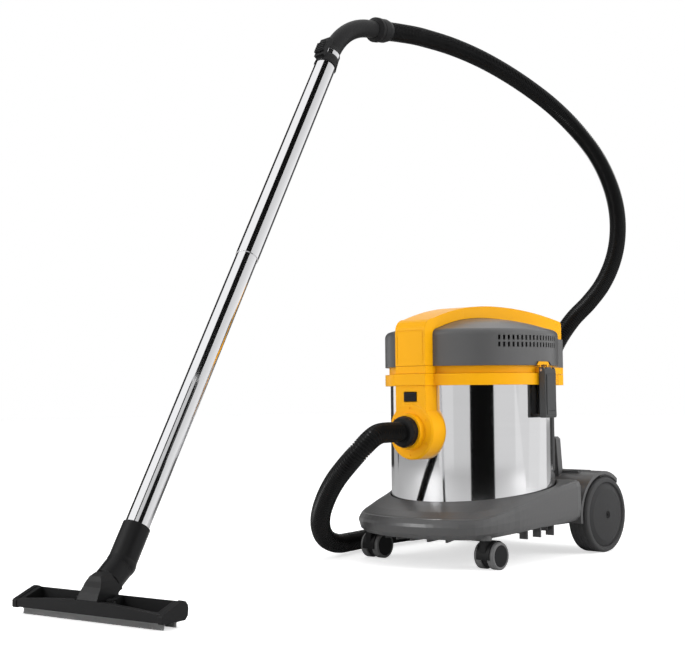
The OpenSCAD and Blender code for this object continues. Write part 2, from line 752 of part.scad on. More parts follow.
module filter_cage() {
    h = 110;
    color(black) difference() {
        translate([0, 0, band_bottom - h]) cylinder(r = 78, h = h);
        translate([0, 0, band_bottom - h + 4]) cylinder(r = 74, h = h);
        for (i = [0:5]) rotate([0, 0, 60 * i]) translate([60, -22, band_bottom - h + 16]) cube([30, 44, h - 34]);
    }
}

module motor() {
    color(steel) union() {
        translate([0, 0, band_bottom + 6]) cylinder(r = 72, h = 30);
        translate([0, 0, band_bottom + 36]) cylinder(r = 48, h = 42);
    }
}

function crown_radius() = (pow(cover_radius - cover_edge, 2) + crown_rise * crown_rise) / (2 * crown_rise);

function cover_outline(off) =
    let (rc = crown_radius(), r0 = cover_radius - cover_edge, z0 = cover_top - cover_edge,
         zc = cover_top + crown_rise - rc, b = asin(r0 / rc))
    concat(
        [for (i = [0:6]) [r0 + (cover_edge - off) * cos(15 * i * (90 - b * 0.6) / 90),
                          z0 + (cover_edge - off) * sin(15 * i * (90 - b * 0.6) / 90)]],
        [for (i = [1:12]) let (a = b * 0.97 * (1 - i / 12)) [(rc - off) * sin(a), zc + (rc - off) * cos(a)]]
    );

module cover_envelope(grow = 0) {
    rotate_extrude() polygon(concat([[0, band_top], [cover_radius + grow, band_top]], cover_outline(-grow)));
}

module motor_cover() {
    color(grey) difference() {
        union() {
            cover_envelope();
            rear_block(band_top, cover_block_top);
        }
        rotate_extrude() polygon(concat([[0, band_top - 1], [band_radius - 2, band_top - 1],
            [band_radius - 2, band_top + 3], [cover_radius - cover_shell, band_top + 3]], cover_outline(cover_shell)));
        mirror_pair() for (i = [0:vent_count - 1]) for (z = [vent_lower, vent_upper])
            rotate([0, 0, vent_start + vent_pitch * i])
                translate([cover_radius - 10, -vent_width / 2, band_top + z - vent_height / 2])
                    cube([20, vent_width, vent_height]);
        mirror_pair() difference() {
            translate([150, 0, band_top - 1]) rotate([90, 0, 90]) linear_extrude(40)
                polygon([[-34, 0], [-22, 8.6], [20, 8.6], [32, 0]]);
            translate([0, 0, band_top - 2]) cylinder(r = cover_radius - 2, h = 20);
        }
    }
}

// Side profile of the arch in Y and Z.
function arch_z(y) = y < arch_peak ? crest_z - pow(y - arch_peak, 2) / (2 * arch_front_radius)
    : crest_z - pow(y - arch_peak, 2) / (2 * arch_rear_radius);

module arch_profile() {
    y0 = -arch_front + arch_corner;
    z0 = arch_z(y0);
    y1 = block_rear - 10;
    polygon(concat(
        [[-arch_front, band_top + 0.3], [-arch_front, z0 - arch_corner + 2]],
        [for (i = [1:5]) [y0 - arch_corner * cos(15 * i), z0 - arch_corner + 2 + (arch_corner - 2) * sin(15 * i)]],
        [for (i = [0:24]) let (y = y0 + (y1 - y0) * i / 24) [y, arch_z(y)]],
        [[block_rear - 3, arch_z(y1) - 4], [block_rear, arch_z(y1) - 11], [block_rear, cover_block_top],
         [-150, cover_block_top], [-150, band_top + 0.3]]
    ));
}

module arch_handle() {
    color(yellow) difference() {
        intersection() {
            rotate([90, 0, 90]) translate([0, 0, -block_half]) linear_extrude(2 * block_half) arch_profile();
            translate([0, 0, band_top]) linear_extrude(200) polygon([
                [-arch_half, -arch_front - 1], [arch_half, -arch_front - 1], [arch_half, -70],
                [block_half, block_rear - 10], [block_half - 2, block_rear - 2], [block_half - 10, block_rear + 1],
                [-block_half + 10, block_rear + 1], [-block_half + 2, block_rear - 2],
                [-block_half, block_rear - 10], [-arch_half, -70]
            ]);
        }
        cover_envelope(rest_gap);
        translate([-switch_width / 2 - 1.5, switch_place - 14, arch_z(switch_place) - 14])
            cube([switch_width + 3, 28, 32]);
        translate([-switch_width / 2 - 6.5, switch_place, switch_z]) rotate([0, 90, 0])
            cylinder(r = 2.5 + run_gap, h = switch_width + 13, $fn = 48);
        for (s = [-1, 1]) translate([s * (arch_half - 5) - 0.5, -arch_front - 1, band_top + 4])
            cube([1, 1.6, 62]);
        translate([-arch_half + 5, -arch_front - 1, band_top + 66]) cube([2 * arch_half - 10, 1.6, 1]);
    }
}

module power_switch() {
    color(orange) translate([-switch_width / 2, switch_place, switch_z]) union() {
        rotate([-switch_tilt, 0, 0]) rotate([90, 0, 90]) linear_extrude(switch_width) polygon([
            [-11, -6], [11, -6], [11.5, 8], [9, 15], [4, 18], [-4, 18], [-9, 15], [-11.5, 8]
        ]);
        translate([-6, 0, 0]) rotate([0, 90, 0]) cylinder(r = 2.5, h = switch_width + 12, $fn = 48);
    }
}

module cable_gland() {
    color(black) translate([-35, block_rear, band_top + 22]) rotate([-90, 0, 0]) difference() {
        union() {
            cylinder(r = 13, h = 5, $fn = 48);
            cylinder(r1 = 9, r2 = 6.5, h = 20, $fn = 48);
        }
        translate([0, 0, 2]) cylinder(r = 3.6, h = 30, $fn = 32);
    }
}

module latch(pivot_clear) {
    half = latch_width / 2;
    top = latch_pivot + 5.5;
    bottom = latch_pivot - latch_length;
    difference() {
        union() {
            along_y(half) linear_extrude(latch_width) polygon([
                [latch_inner, bottom + 2], [latch_inner + 2, bottom], [latch_face - 1, bottom],
                [latch_face, bottom + 3], [latch_face - 0.6, bottom + 30], [latch_face - 0.6, top - 12],
                [latch_face - 1.8, top - 4], [latch_face - 5, top], [latch_inner + 1, top], [latch_inner, top - 1]
            ]);
            translate([latch_face - 3, -half + 5, bottom + 6]) cube([3.8, latch_width - 10, top - bottom - 20]);
        }
        translate([latch_inner - 1, -half + 4, ring_bottom - 56]) cube([latch_face - latch_inner - 4, latch_width - 8, 60]);
        translate([latch_pivot_x - 20, -half + 3.6, latch_pivot - 7]) cube([20 + 7.4, 6, 40]);
        translate([latch_pivot_x - 20, half - 9.6, latch_pivot - 7]) cube([20 + 7.4, 6, 40]);
        translate([latch_pivot_x, -40, latch_pivot]) rotate([-90, 0, 0]) cylinder(r = 3, h = 80, $fn = 48);
        translate([latch_face - 0.2, -half + 8, bottom + 12]) cube([2, latch_width - 16, 1.2]);
    }
}

module latch_right() {
    color(black) latch();
}

module latch_left() {
    color(black) mirror([1, 0, 0]) latch();
}

module latch_pin() {
    translate([latch_pivot_x, -latch_width / 2 + 1, latch_pivot]) rotate([-90, 0, 0])
        cylinder(r = 3, h = latch_width - 2, $fn = 48);
}

module latch_pin_right() {
    color(steel) latch_pin();
}

module latch_pin_left() {
    color(steel) mirror([1, 0, 0]) latch_pin();
}

// ---- chassis -----------------------------------------------------------------

module chassis() {
    color(grey) difference() {
        skirt_body();
        translate([-chassis_half - 10, panel_rear + 7.4, 0]) cube([2 * chassis_half + 20, 100, deck_top + 20]);
        mirror_pair() translate([caster_x, -caster_y, caster_top - 10]) cylinder(r = boss_radius - 0.5, h = 45);
    }
}

module deck_cavity() {
    side = well_inner;
    difference() {
        intersection() {
            translate([-side + 5, axle_place, axle_z]) rotate([0, 90, 0])
                cylinder(r = fender_radius - 7, h = 2 * side - 10);
            translate([-side, 168, 50]) cube([2 * side, deck_rear - 168 - 5, deck_top - 50]);
        }
        mirror_pair() translate([holder_x, holder_y + 14, deck_top - holder_depth - 4])
            cylinder(r = holder_radius + 3.5, h = holder_depth + 4);
        mirror_pair() translate([side - 12, axle_place, axle_z]) rotate([0, 90, 0])
            cylinder(r = axle_radius + 7, h = 12);
    }
}

module chassis_deck() {
    side = well_inner;
    color(grey) difference() {
        union() {
            translate([0, 0, drum_floor - 10]) cylinder(r = pocket_radius + 1.5, h = 9.5);
            translate([-side, 110, 60]) cube([2 * side, deck_rear - 110, 30]);
            intersection() {
                translate([-chassis_half + 4, axle_place, axle_z]) rotate([0, 90, 0])
                    cylinder(r = fender_radius, h = 2 * chassis_half - 8);
                translate([-chassis_half, axle_place - fender_radius, axle_z - 12])
                    cube([2 * chassis_half, fender_radius + fender_reach, deck_top]);
            }
            translate([-side, holder_y - 8, deck_top - 22]) cube([2 * side, 48, 22]);
            translate([0, 190, 0]) rotate([90, 0, 0]) linear_extrude(16) polygon([
                [-post_half, deck_top - 20], [post_half, deck_top - 20], [post_half - 6, post_top - 5],
                [post_half - 11, post_top], [-post_half + 11, post_top], [-post_half + 6, post_top - 5]
            ]);
            mirror_pair() translate([caster_x, -caster_y, caster_top]) cylinder(r = boss_radius, h = 34);
            mirror_pair() rotate([0, 0, -47.4]) translate([150, -6, drum_floor - 10]) cube([56, 12, 9.5]);
            for (i = [0:11]) rotate([0, 0, 30 * i + 15]) translate([40, -2, 56]) cube([112, 4, 12]);
            for (i = [-2:2]) rotate([0, 0, 11 * i]) translate([-2, -195, 47]) cube([4, 48, 21]);
            for (i = [0:2]) mirror_pair() translate([138, -42 + 44 * i, 47]) cube([17, 4, 21]);
        }
        translate([0, 0, drum_floor - 0.5]) cylinder(r = pocket_radius, h = 300);
        mirror_pair() translate([well_inner, axle_place, axle_z]) rotate([0, 90, 0]) cylinder(r = well_radius, h = 80);
        mirror_pair() translate([well_inner, axle_place - 25, -10]) cube([80, 200, axle_z + 45]);
        deck_cavity();
        mirror_pair() translate([holder_x, holder_y + 14, deck_top - holder_depth])
            cylinder(r = holder_radius, h = holder_depth + 10);
        mirror_pair() translate([caster_x, -caster_y, caster_top - 1]) cylinder(r = stem_radius + run_gap, h = 27);
        translate([-200, axle_place, axle_z]) rotate([0, 90, 0]) cylinder(r = axle_radius, h = 400);
    }
}

module rear_axle() {
    color(steel) translate([-wheel_face + 8, axle_place, axle_z]) rotate([0, 90, 0])
        cylinder(r = axle_radius, h = 2 * wheel_face - 16);
}

module tyre() {
    translate([wheel_inner, axle_place, axle_z]) rotate([0, 90, 0]) rotate_extrude() polygon([
        [disc_radius, 0], [wheel_radius - 4, 0], [wheel_radius - 1, 2], [wheel_radius, 5],
        [wheel_radius, 11], [wheel_radius - 1.5, 12], [wheel_radius - 1.5, 14], [wheel_radius, 15],
        [wheel_radius, 21], [wheel_radius - 1.5, 22], [wheel_radius - 1.5, 24], [wheel_radius, 25],
        [wheel_radius, 31], [wheel_radius - 1.5, 32], [wheel_radius - 1.5, 34], [wheel_radius, 35],
        [wheel_radius, wheel_width - 5], [wheel_radius - 1.5, wheel_width - 1.5],
        [wheel_radius - 4, wheel_width], [disc_radius + 2, wheel_width], [disc_radius, wheel_width - 3]
    ]);
}

module wheel_disc() {
    translate([wheel_inner, axle_place, axle_z]) rotate([0, 90, 0]) rotate_extrude() polygon([
        [axle_radius + run_gap, 1], [disc_radius, 1], [disc_radius, wheel_width - 3.5],
        [disc_radius - 2, wheel_width - 2.5], [disc_radius - 12, wheel_width + 0.5], [8, wheel_width + 2],
        [8, wheel_width - 1], [5, wheel_width - 1], [5, wheel_width - 6], [axle_radius + run_gap, wheel_width - 6]
    ]);
}

module wheel_screw() {
    translate([wheel_face - 1, axle_place, axle_z]) rotate([0, 90, 0]) difference() {
        union() {
            cylinder(r = 7.5, h = 2.2, $fn = 48);
            translate([0, 0, -4]) cylinder(r = 4.8, h = 5, $fn = 48);
        }
        translate([0, 0, 1]) cylinder(r = 3, h = 3, $fn = 6);
    }
}

module tyre_right() {
    color(tyre_grey) tyre();
}

module tyre_left() {
    color(tyre_grey) mirror([1, 0, 0]) tyre();
}

module wheel_disc_right() {
    color(black) wheel_disc();
}

module wheel_disc_left() {
    color(black) mirror([1, 0, 0]) wheel_disc();
}

module wheel_screw_right() {
    color(steel) wheel_screw();
}

module wheel_screw_left() {
    color(steel) mirror([1, 0, 0]) wheel_screw();
}

// ---- casters -----------------------------------------------------------------

module at_caster(s) {
    translate([s * caster_x, -caster_y, 0]) children();
}

module hood_sector(r0, r1, half) {
    translate([-half, caster_trail, caster_radius]) rotate([0, 90, 0]) difference() {
        cylinder(r = r1, h = 2 * half);
        if (r0 > 0) translate([0, 0, -1]) cylinder(r = r0, h = 2 * half + 2);
        translate([6, -40, -1]) cube([40, 80, 2 * half + 2]);
    }
}

module caster_hood() {
    inner = caster_face - caster_wheel_width - 0.6;
    outer = caster_radius + 2.6;
    difference() {
        union() {
            translate([-inner, caster_trail, caster_radius]) rotate([0, 90, 0])
                cylinder(r = caster_radius - 2.5, h = 2 * inner);
            hood_sector(0, outer, inner);
            hood_sector(caster_radius + 0.8, outer, inner + 8);
            translate([-inner, -9, caster_radius - 6]) cube([2 * inner, 20, caster_top - caster_radius + 5.7]);
            translate([0, 0, caster_radius]) cylinder(r = stem_radius, h = caster_top - caster_radius + 24);
        }
        translate([-inner - 1, caster_trail, caster_radius]) rotate([0, 90, 0])
            cylinder(r = caster_axle_radius + run_gap, h = 2 * inner + 2, $fn = 48);
    }
}

module caster_pair() {
    translate([0, caster_trail, caster_radius]) rotate([0, 90, 0]) for (s = [0, 1]) mirror([0, 0, s])
        translate([0, 0, caster_face - caster_wheel_width]) rotate_extrude() polygon([
            [caster_axle_radius, 0], [caster_radius - 1, 0], [caster_radius, 1], [caster_radius, caster_wheel_width - 1.5],
            [caster_radius - 1.5, caster_wheel_width], [caster_radius - 4.5, caster_wheel_width],
            [caster_radius - 5.5, caster_wheel_width - 1.2], [caster_axle_radius, caster_wheel_width - 1.2]
        ]);
}

module caster_disc() {
    translate([0, caster_trail, caster_radius]) rotate([0, 90, 0]) for (s = [0, 1]) mirror([0, 0, s])
        translate([0, 0, caster_face - 1.2]) cylinder(r = caster_radius - 5.6, h = 1);
}

module caster_axle() {
    translate([-caster_face + 2, caster_trail, caster_radius]) rotate([0, 90, 0])
        cylinder(r = caster_axle_radius, h = 2 * caster_face - 4, $fn = 48);
}

module caster_hood_right() {
    color(black) at_caster(1) caster_hood();
}

module caster_hood_left() {
    color(black) at_caster(-1) caster_hood();
}

module caster_wheels_right() {
    color(tyre_grey) at_caster(1) caster_pair();
}

module caster_wheels_left() {
    color(tyre_grey) at_caster(-1) caster_pair();
}

module caster_discs_right() {
    color(black) at_caster(1) caster_disc();
}

module caster_discs_left() {
    color(black) at_caster(-1) caster_disc();
}

module caster_axle_right() {
    color(steel) at_caster(1) caster_axle();
}

module caster_axle_left() {
    color(steel) at_caster(-1) caster_axle();
}

chassis();
chassis_deck();
rear_axle();
tyre_right();
tyre_left();
wheel_disc_right();
wheel_disc_left();
wheel_screw_right();
wheel_screw_left();
caster_hood_right();
caster_hood_left();
caster_wheels_right();
caster_wheels_left();
caster_discs_right();
caster_discs_left();
caster_axle_right();
caster_axle_left();
drum();
lower_ring();
inlet_housing();
inlet_button();
hose_connector();
hose();
hose_cuff();
bent_handle();
air_slider();
upper_tube();
lower_tube();
elbow_socket();
swivel_neck();
head_body();
head_pin();
head_cap_left();
head_cap_right();
bristle_front();
bristle_rear();
motor_band();
gasket();
filter_cage();
motor();
motor_cover();
arch_handle();
power_switch();
cable_gland();
latch_right();
latch_left();
latch_pin_right();
latch_pin_left();
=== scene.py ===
import bpy, bmesh, json, math
from mathutils import Vector, Matrix

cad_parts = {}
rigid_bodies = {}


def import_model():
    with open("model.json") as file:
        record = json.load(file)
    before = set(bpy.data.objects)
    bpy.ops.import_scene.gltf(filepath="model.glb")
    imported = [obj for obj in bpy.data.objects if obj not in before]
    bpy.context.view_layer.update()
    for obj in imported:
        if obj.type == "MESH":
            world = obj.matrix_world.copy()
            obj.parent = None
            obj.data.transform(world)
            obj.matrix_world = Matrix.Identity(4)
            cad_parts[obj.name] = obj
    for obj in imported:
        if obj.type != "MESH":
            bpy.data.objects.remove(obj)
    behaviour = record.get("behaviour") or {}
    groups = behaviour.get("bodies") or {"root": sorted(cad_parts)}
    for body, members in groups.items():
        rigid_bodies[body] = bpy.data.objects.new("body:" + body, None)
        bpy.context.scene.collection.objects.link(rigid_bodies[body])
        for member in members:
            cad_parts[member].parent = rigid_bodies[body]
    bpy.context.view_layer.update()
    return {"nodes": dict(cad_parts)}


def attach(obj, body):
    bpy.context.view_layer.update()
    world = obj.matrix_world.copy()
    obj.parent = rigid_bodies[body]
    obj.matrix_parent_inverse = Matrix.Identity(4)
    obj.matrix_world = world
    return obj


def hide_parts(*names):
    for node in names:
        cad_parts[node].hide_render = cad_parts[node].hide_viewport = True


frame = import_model()
objs = bpy.data.objects
scene = bpy.context.scene

# ---- camera ------------------------------------------------------------------------
CAM = Vector((1.513, -2.023, 0.3175))
HEADING = math.radians(42.6)
PITCH = math.radians(3.2)
ROLL = math.radians(0.5)
FOCAL_PX = 1262.2
WIDTH_PX = 685
SENSOR_MM = 36.0
FAR_CLIP = 60


def add_camera():
    forward = Vector((-math.sin(HEADING) * math.cos(PITCH), math.cos(HEADING) * math.cos(PITCH),
                      math.sin(PITCH)))
    level = Vector((math.cos(HEADING), math.sin(HEADING), 0))
    upright = level.cross(forward)
    right = level * math.cos(ROLL) - upright * math.sin(ROLL)
    up = level * math.sin(ROLL) + upright * math.cos(ROLL)
    data = bpy.data.cameras.new("camera")
    data.sensor_width = SENSOR_MM
    data.sensor_fit = "HORIZONTAL"
    data.lens = FOCAL_PX / WIDTH_PX * SENSOR_MM
    data.clip_end = FAR_CLIP
    cam = objs.new("camera", data)
    scene.collection.objects.link(cam)
    cam.matrix_world = Matrix(((right.x, up.x, -forward.x, CAM.x), (right.y, up.y, -forward.y, CAM.y),
                               (right.z, up.z, -forward.z, CAM.z), (0, 0, 0, 1)))
    scene.camera = cam


add_camera()


# ---- meshes ------------------------------------------------------------------------
def new_object(name, verts, faces, smooth=True):
    mesh = bpy.data.meshes.new(name)
    mesh.from_pydata([tuple(v) for v in verts], [], faces)
    mesh.validate()
    mesh.update()
    bm = bmesh.new()
    bm.from_mesh(mesh)
    bmesh.ops.recalc_face_normals(bm, faces=bm.faces)
    bm.to_mesh(mesh)
    bm.free()
    for p in mesh.polygons:
        p.use_smooth = smooth
    o = objs.new(name, mesh)
    scene.collection.objects.link(o)
    return o


# ---- materials ---------------------------------------------------------------------
BROAD_SCALE = 9.0
BUMP_DEPTH = 0.0003
SMOOTHEST = 0.02
EDGE_SAMPLES = 4


def noise(tree, vector, scale, detail):
    node = tree.nodes.new("ShaderNodeTexNoise")
    node.inputs["Scale"].default_value = scale
    node.inputs["Detail"].default_value = detail
    tree.links.new(vector, node.inputs["Vector"])
    return node.outputs["Fac"]


def material(name, color, rough, metal=0.0, spec=0.5, grain=900.0, bump=0.15, vary=0.06, rough_vary=0.06,
             edge=0.0006, stretch=(1, 1, 1)):
    """Broad noise varies the colour and the roughness, fine noise is the grain, edge rounds the edges."""
    m = bpy.data.materials.new(name)
    m.use_nodes = True
    tree = m.node_tree
    bsdf = tree.nodes["Principled BSDF"]
    bsdf.inputs["Metallic"].default_value = metal
    bsdf.inputs["Specular IOR Level"].default_value = spec
    place = tree.nodes.new("ShaderNodeTexCoord")
    scale = tree.nodes.new("ShaderNodeVectorMath")
    scale.operation = "MULTIPLY"
    scale.inputs[1].default_value = stretch
    tree.links.new(place.outputs["Object"], scale.inputs[0])
    broad = noise(tree, scale.outputs[0], BROAD_SCALE, 3.0)
    fine = noise(tree, scale.outputs[0], grain, 2.0)
    shade = tree.nodes.new("ShaderNodeMix")
    shade.data_type = "RGBA"
    shade.inputs[6].default_value = (*[c * (1 - vary) for c in color], 1)
    shade.inputs[7].default_value = (*[min(1.0, c * (1 + vary)) for c in color], 1)
    tree.links.new(broad, shade.inputs[0])
    tree.links.new(shade.outputs[2], bsdf.inputs["Base Color"])
    wear = tree.nodes.new("ShaderNodeMapRange")
    wear.inputs["To Min"].default_value = max(SMOOTHEST, rough - rough_vary)
    wear.inputs["To Max"].default_value = rough + rough_vary
    tree.links.new(broad, wear.inputs["Value"])
    tree.links.new(wear.outputs["Result"], bsdf.inputs["Roughness"])
    relief = tree.nodes.new("ShaderNodeBump")
    relief.inputs["Strength"].default_value = bump
    relief.inputs["Distance"].default_value = BUMP_DEPTH
    tree.links.new(fine, relief.inputs["Height"])
    if edge:
        bevel = tree.nodes.new("ShaderNodeBevel")
        bevel.samples = EDGE_SAMPLES
        bevel.inputs["Radius"].default_value = edge
        tree.links.new(bevel.outputs["Normal"], relief.inputs["Normal"])
    tree.links.new(relief.outputs["Normal"], bsdf.inputs["Normal"])
    return m


YELLOW = material("yellow_moulding", (0.925, 0.425, 0.003), 0.34, spec=0.14, grain=1400, bump=0.10,
                  vary=0.03, edge=0.0014)
GREY = material("grey_moulding", (0.080, 0.080, 0.081), 0.33, spec=0.5, grain=1600, bump=0.16,
                vary=0.05, edge=0.0014)
GREY_LIGHT = material("grey_cover", (0.090, 0.090, 0.091), 0.33, spec=0.5, grain=1600, bump=0.16,
                      vary=0.05, edge=0.0014)
LEVER = material("grey_lever", (0.040, 0.041, 0.042), 0.38, spec=0.4, grain=1500, bump=0.15, edge=0.0012)
BLACK = material("black_moulding", (0.011, 0.011, 0.0115), 0.46, spec=0.14, grain=1500, bump=0.20,
                 vary=0.2, edge=0.0010)
BLACK_SATIN = material("black_satin", (0.0085, 0.0085, 0.009), 0.34, spec=0.16, grain=1500, bump=0.10,
                       vary=0.2, edge=0.0010)
HOSE = material("hose_plastic", (0.004, 0.004, 0.0042), 0.24, spec=0.14, grain=700, bump=0.08,
                vary=0.2, edge=0)
STEEL = material("polished_steel", (0.78, 0.78, 0.79), 0.07, metal=1.0, grain=260, bump=0.015, vary=0.02,
                 rough_vary=0.02, edge=0, stretch=(1, 1, 12))
CHROME = material("chrome_tube", (0.86, 0.86, 0.875), 0.06, metal=1.0, grain=300, bump=0.01, vary=0.01,
                  rough_vary=0.02, edge=0.0003)
TYRE = material("tyre_rubber", (0.046, 0.046, 0.047), 0.62, spec=0.3, grain=1100, bump=0.35,
                vary=0.08, edge=0.0012)
CASTER_TYRE = material("caster_rubber", (0.13, 0.13, 0.13), 0.60, spec=0.3, grain=1100, bump=0.25,
                       vary=0.08, edge=0.0010)
DISC = material("wheel_disc", (0.030, 0.030, 0.031), 0.42, spec=0.2, grain=1500, bump=0.25, edge=0.0010)
BRISTLE = material("bristle_fibre", (0.30, 0.30, 0.30), 0.7, grain=2500, bump=0.3, vary=0.25, edge=0)
ORANGE = material("orange_switch", (0.84, 0.42, 0.07), 0.38, grain=1500, bump=0.1, vary=0.03, edge=0.0012)
PIN = material("pin_steel", (0.55, 0.55, 0.56), 0.28, metal=1.0, bump=0.1, vary=0.04, edge=0.0004)
SEAL = material("seal_rubber", (0.02, 0.02, 0.02), 0.7, bump=0.3, vary=0.1, edge=0)
MOTOR = material("motor_metal", (0.5, 0.5, 0.52), 0.35, metal=1.0, bump=0.1, vary=0.04)

# A node that isn't named here is black.
PAINT = {
    "chassis": GREY, "chassis_deck": GREY, "motor_cover": GREY_LIGHT, "drum": STEEL, "lower_ring": YELLOW,
    "inlet_housing": YELLOW, "motor_band": YELLOW, "arch_handle": YELLOW, "power_switch": ORANGE,
    "upper_tube": CHROME, "lower_tube": CHROME, "rear_axle": PIN, "head_pin": PIN, "gasket": SEAL,
    "motor": MOTOR, "bristle_front": BRISTLE, "bristle_rear": BRISTLE, "swivel_neck": BLACK_SATIN,
    "elbow_socket": BLACK_SATIN, "hose": HOSE,
}
PAINT_BOTH_SIDES = {"latch_pin": PIN, "caster_axle": PIN, "tyre": TYRE, "caster_wheels": CASTER_TYRE,
                    "wheel_disc": DISC, "latch": LEVER}
for side_name in ("right", "left"):
    for stem, paint in PAINT_BOTH_SIDES.items():
        PAINT[stem + "_" + side_name] = paint
for node in frame["nodes"]:
    o = objs[node]
    paint = PAINT.get(node, BLACK)
    if not o.data.materials:
        o.data.materials.append(paint)
    for slot in o.material_slots:
        slot.material = paint

# ---- hose --------------------------------------------------------------------------
# The centre line from the handle's cuff over the arc and along the floor to the inlet, as in the source.
ROUTE = [
    (-0.1176, -0.1109, 1.0522), (-0.1190, -0.0906, 1.0550), (-0.1204, -0.0704, 1.0578), (-0.124, -0.020, 1.064),
    (-0.130, 0.030, 1.069), (-0.135, 0.125, 1.072), (-0.135, 0.220, 1.066), (-0.128, 0.305, 1.050),
    (-0.116, 0.390, 1.024), (-0.098, 0.465, 0.988), (-0.075, 0.525, 0.940), (-0.047, 0.565, 0.880),
    (-0.026, 0.588, 0.815), (-0.012, 0.594, 0.750), (-0.004, 0.582, 0.685), (-0.002, 0.555, 0.625),
    (-0.006, 0.515, 0.570), (-0.014, 0.466, 0.525), (-0.026, 0.412, 0.482), (-0.042, 0.370, 0.425),
    (-0.060, 0.346, 0.350), (-0.084, 0.335, 0.270), (-0.115, 0.335, 0.190), (-0.150, 0.334, 0.120),
    (-0.190, 0.322, 0.060), (-0.224, 0.292, 0.027), (-0.244, 0.240, 0.022), (-0.250, 0.175, 0.022),
    (-0.250, 0.100, 0.022), (-0.248, 0.020, 0.022), (-0.240, -0.050, 0.022), (-0.228, -0.112, 0.022),
    (-0.211, -0.168, 0.025), (-0.190, -0.222, 0.040), (-0.165, -0.264, 0.065), (-0.138, -0.292, 0.096),
    (-0.105, -0.312, 0.130), (-0.070, -0.326, 0.162), (-0.036, -0.333, 0.190), (-0.010, -0.328, 0.216),
    (0.001, -0.308, 0.238), (0.001, -0.285, 0.248), (0.0, -0.262, 0.250), (0.0, -0.242, 0.250),
    (0.0, -0.222, 0.250),
]
HOSE_R = 0.0191
HOSE_VALLEY = 0.0168
HOSE_BORE = 0.0158
HOSE_SIDES = 16
RIBS = 530
BORE_RINGS = 200
STEPS_PER_SPAN = 8
# How far along one rib, and the radius there.
RIB_PROFILE = (
    (0.0, HOSE_VALLEY), (0.22, HOSE_VALLEY + 0.0001), (0.36, HOSE_R - 0.0006), (0.52, HOSE_R), (0.68, HOSE_R),
    (0.84, HOSE_R - 0.0006),
)


def curve_point(a, b, c, d, t):
    """A point between b and c, for t from 0 to 1, on the smooth curve through a, b, c and d."""
    return 0.5 * ((2 * b) + (c - a) * t + (2 * a - 5 * b + 4 * c - d) * t * t
                  + (3 * b - a - 3 * c + d) * t ** 3)


route = [Vector(p) for p in ROUTE]
line = []
for i in range(len(route) - 1):
    four = [route[max(0, i - 1)], route[i], route[i + 1], route[min(len(route) - 1, i + 2)]]
    line += [curve_point(*four, s / STEPS_PER_SPAN) for s in range(STEPS_PER_SPAN)]
line.append(route[-1])
line.reverse()
run = [0.0]
for a, b in zip(line, line[1:]):
    run.append(run[-1] + (b - a).length)
LENGTH = run[-1]


def at(s):
    """The point of the centre line at the length s from the inlet."""
    s = min(max(s, 0.0), LENGTH)
    lo, hi = 0, len(run) - 1
    while hi - lo > 1:
        mid = (lo + hi) // 2
        lo, hi = (mid, hi) if run[mid] <= s else (lo, mid)
    t = (s - run[lo]) / (run[hi] - run[lo])
    return line[lo].lerp(line[hi], t)


def heading(s):
    reach = 0.006
    return (at(s + reach) - at(s - reach)).normalized()


def sweep(stations):
    """Rings around the centre line, one for each length and radius in stations."""
    verts, normal = [], Vector((1, 0, 0))
    for s, r in stations:
        t = heading(s)
        normal = (normal - t * normal.dot(t)).normalized()
        side = t.cross(normal)
        p = at(s)
        for j in range(HOSE_SIDES):
            a = 2 * math.pi * j / HOSE_SIDES
            verts.append(p + r * (math.cos(a) * normal + math.sin(a) * side))
    return verts


def wall(first, rings, inward=False):
    """The faces between rings that follow one another, from the vertex first on."""
    faces = []
    for i in range(rings - 1):
        for j in range(HOSE_SIDES):
            a = first + i * HOSE_SIDES + j
            b = first + i * HOSE_SIDES + (j + 1) % HOSE_SIDES
            face = (a, b, b + HOSE_SIDES, a + HOSE_SIDES)
            faces.append((face[3], face[2], face[1], face[0]) if inward else face)
    return faces


def make_hose():
    pitch = LENGTH / RIBS
    stations = [((i + f) * pitch, r) for i in range(RIBS) for f, r in RIB_PROFILE] + [(LENGTH, HOSE_VALLEY)]
    outer = sweep(stations)
    inner = sweep([(LENGTH * i / BORE_RINGS, HOSE_BORE) for i in range(BORE_RINGS + 1)])
    base = len(outer)
    last = base - HOSE_SIDES
    last_inner = base + BORE_RINGS * HOSE_SIDES
    faces = wall(0, len(stations)) + wall(base, BORE_RINGS + 1, inward=True)
    for j in range(HOSE_SIDES):
        k = (j + 1) % HOSE_SIDES
        faces.append((base + j, base + k, k, j))
        faces.append((last + j, last + k, last_inner + k, last_inner + j))
    hose = new_object("ribbed_hose", outer + inner, faces)
    hose.data.materials.append(HOSE)
    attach(hose, "machine")
    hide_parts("hose")


make_hose()

# ---- bristles ----------------------------------------------------------------------
HEAD_AT = Vector((0.0155, -0.918, 0))
HEAD_YAW = math.radians(9.2)
STRIP_LENGTH = 0.276
STRIP_END = 0.0015
HOLDER_HALF = 0.0019
HOLDER_BOTTOM = 0.0078
HOLDER_TOP = 0.0114
FIBRES_IN_ROW = 210
FIBRE_TOP = 0.0082
FIBRE_HALF_X = 0.00042
FIBRE_HALF_Y = 0.00048
TIP_SCALE = 0.7
ROW_GAP = 0.0011
ROW_SHIFT = 0.33
TIP_SPREAD_ACROSS = 0.0006
TIP_SPREAD_ALONG = 0.0007
TIP_LOWEST = 0.0002
TIP_UNEVEN = 0.0004
CORNERS = ((-1, -1), (1, -1), (1, 1), (-1, 1))
along = Vector((math.cos(HEAD_YAW), math.sin(HEAD_YAW), 0))
across = Vector((-math.sin(HEAD_YAW), math.cos(HEAD_YAW), 0))


def on_head(u, v, z):
    return HEAD_AT + along * u + across * v + Vector((0, 0, z))


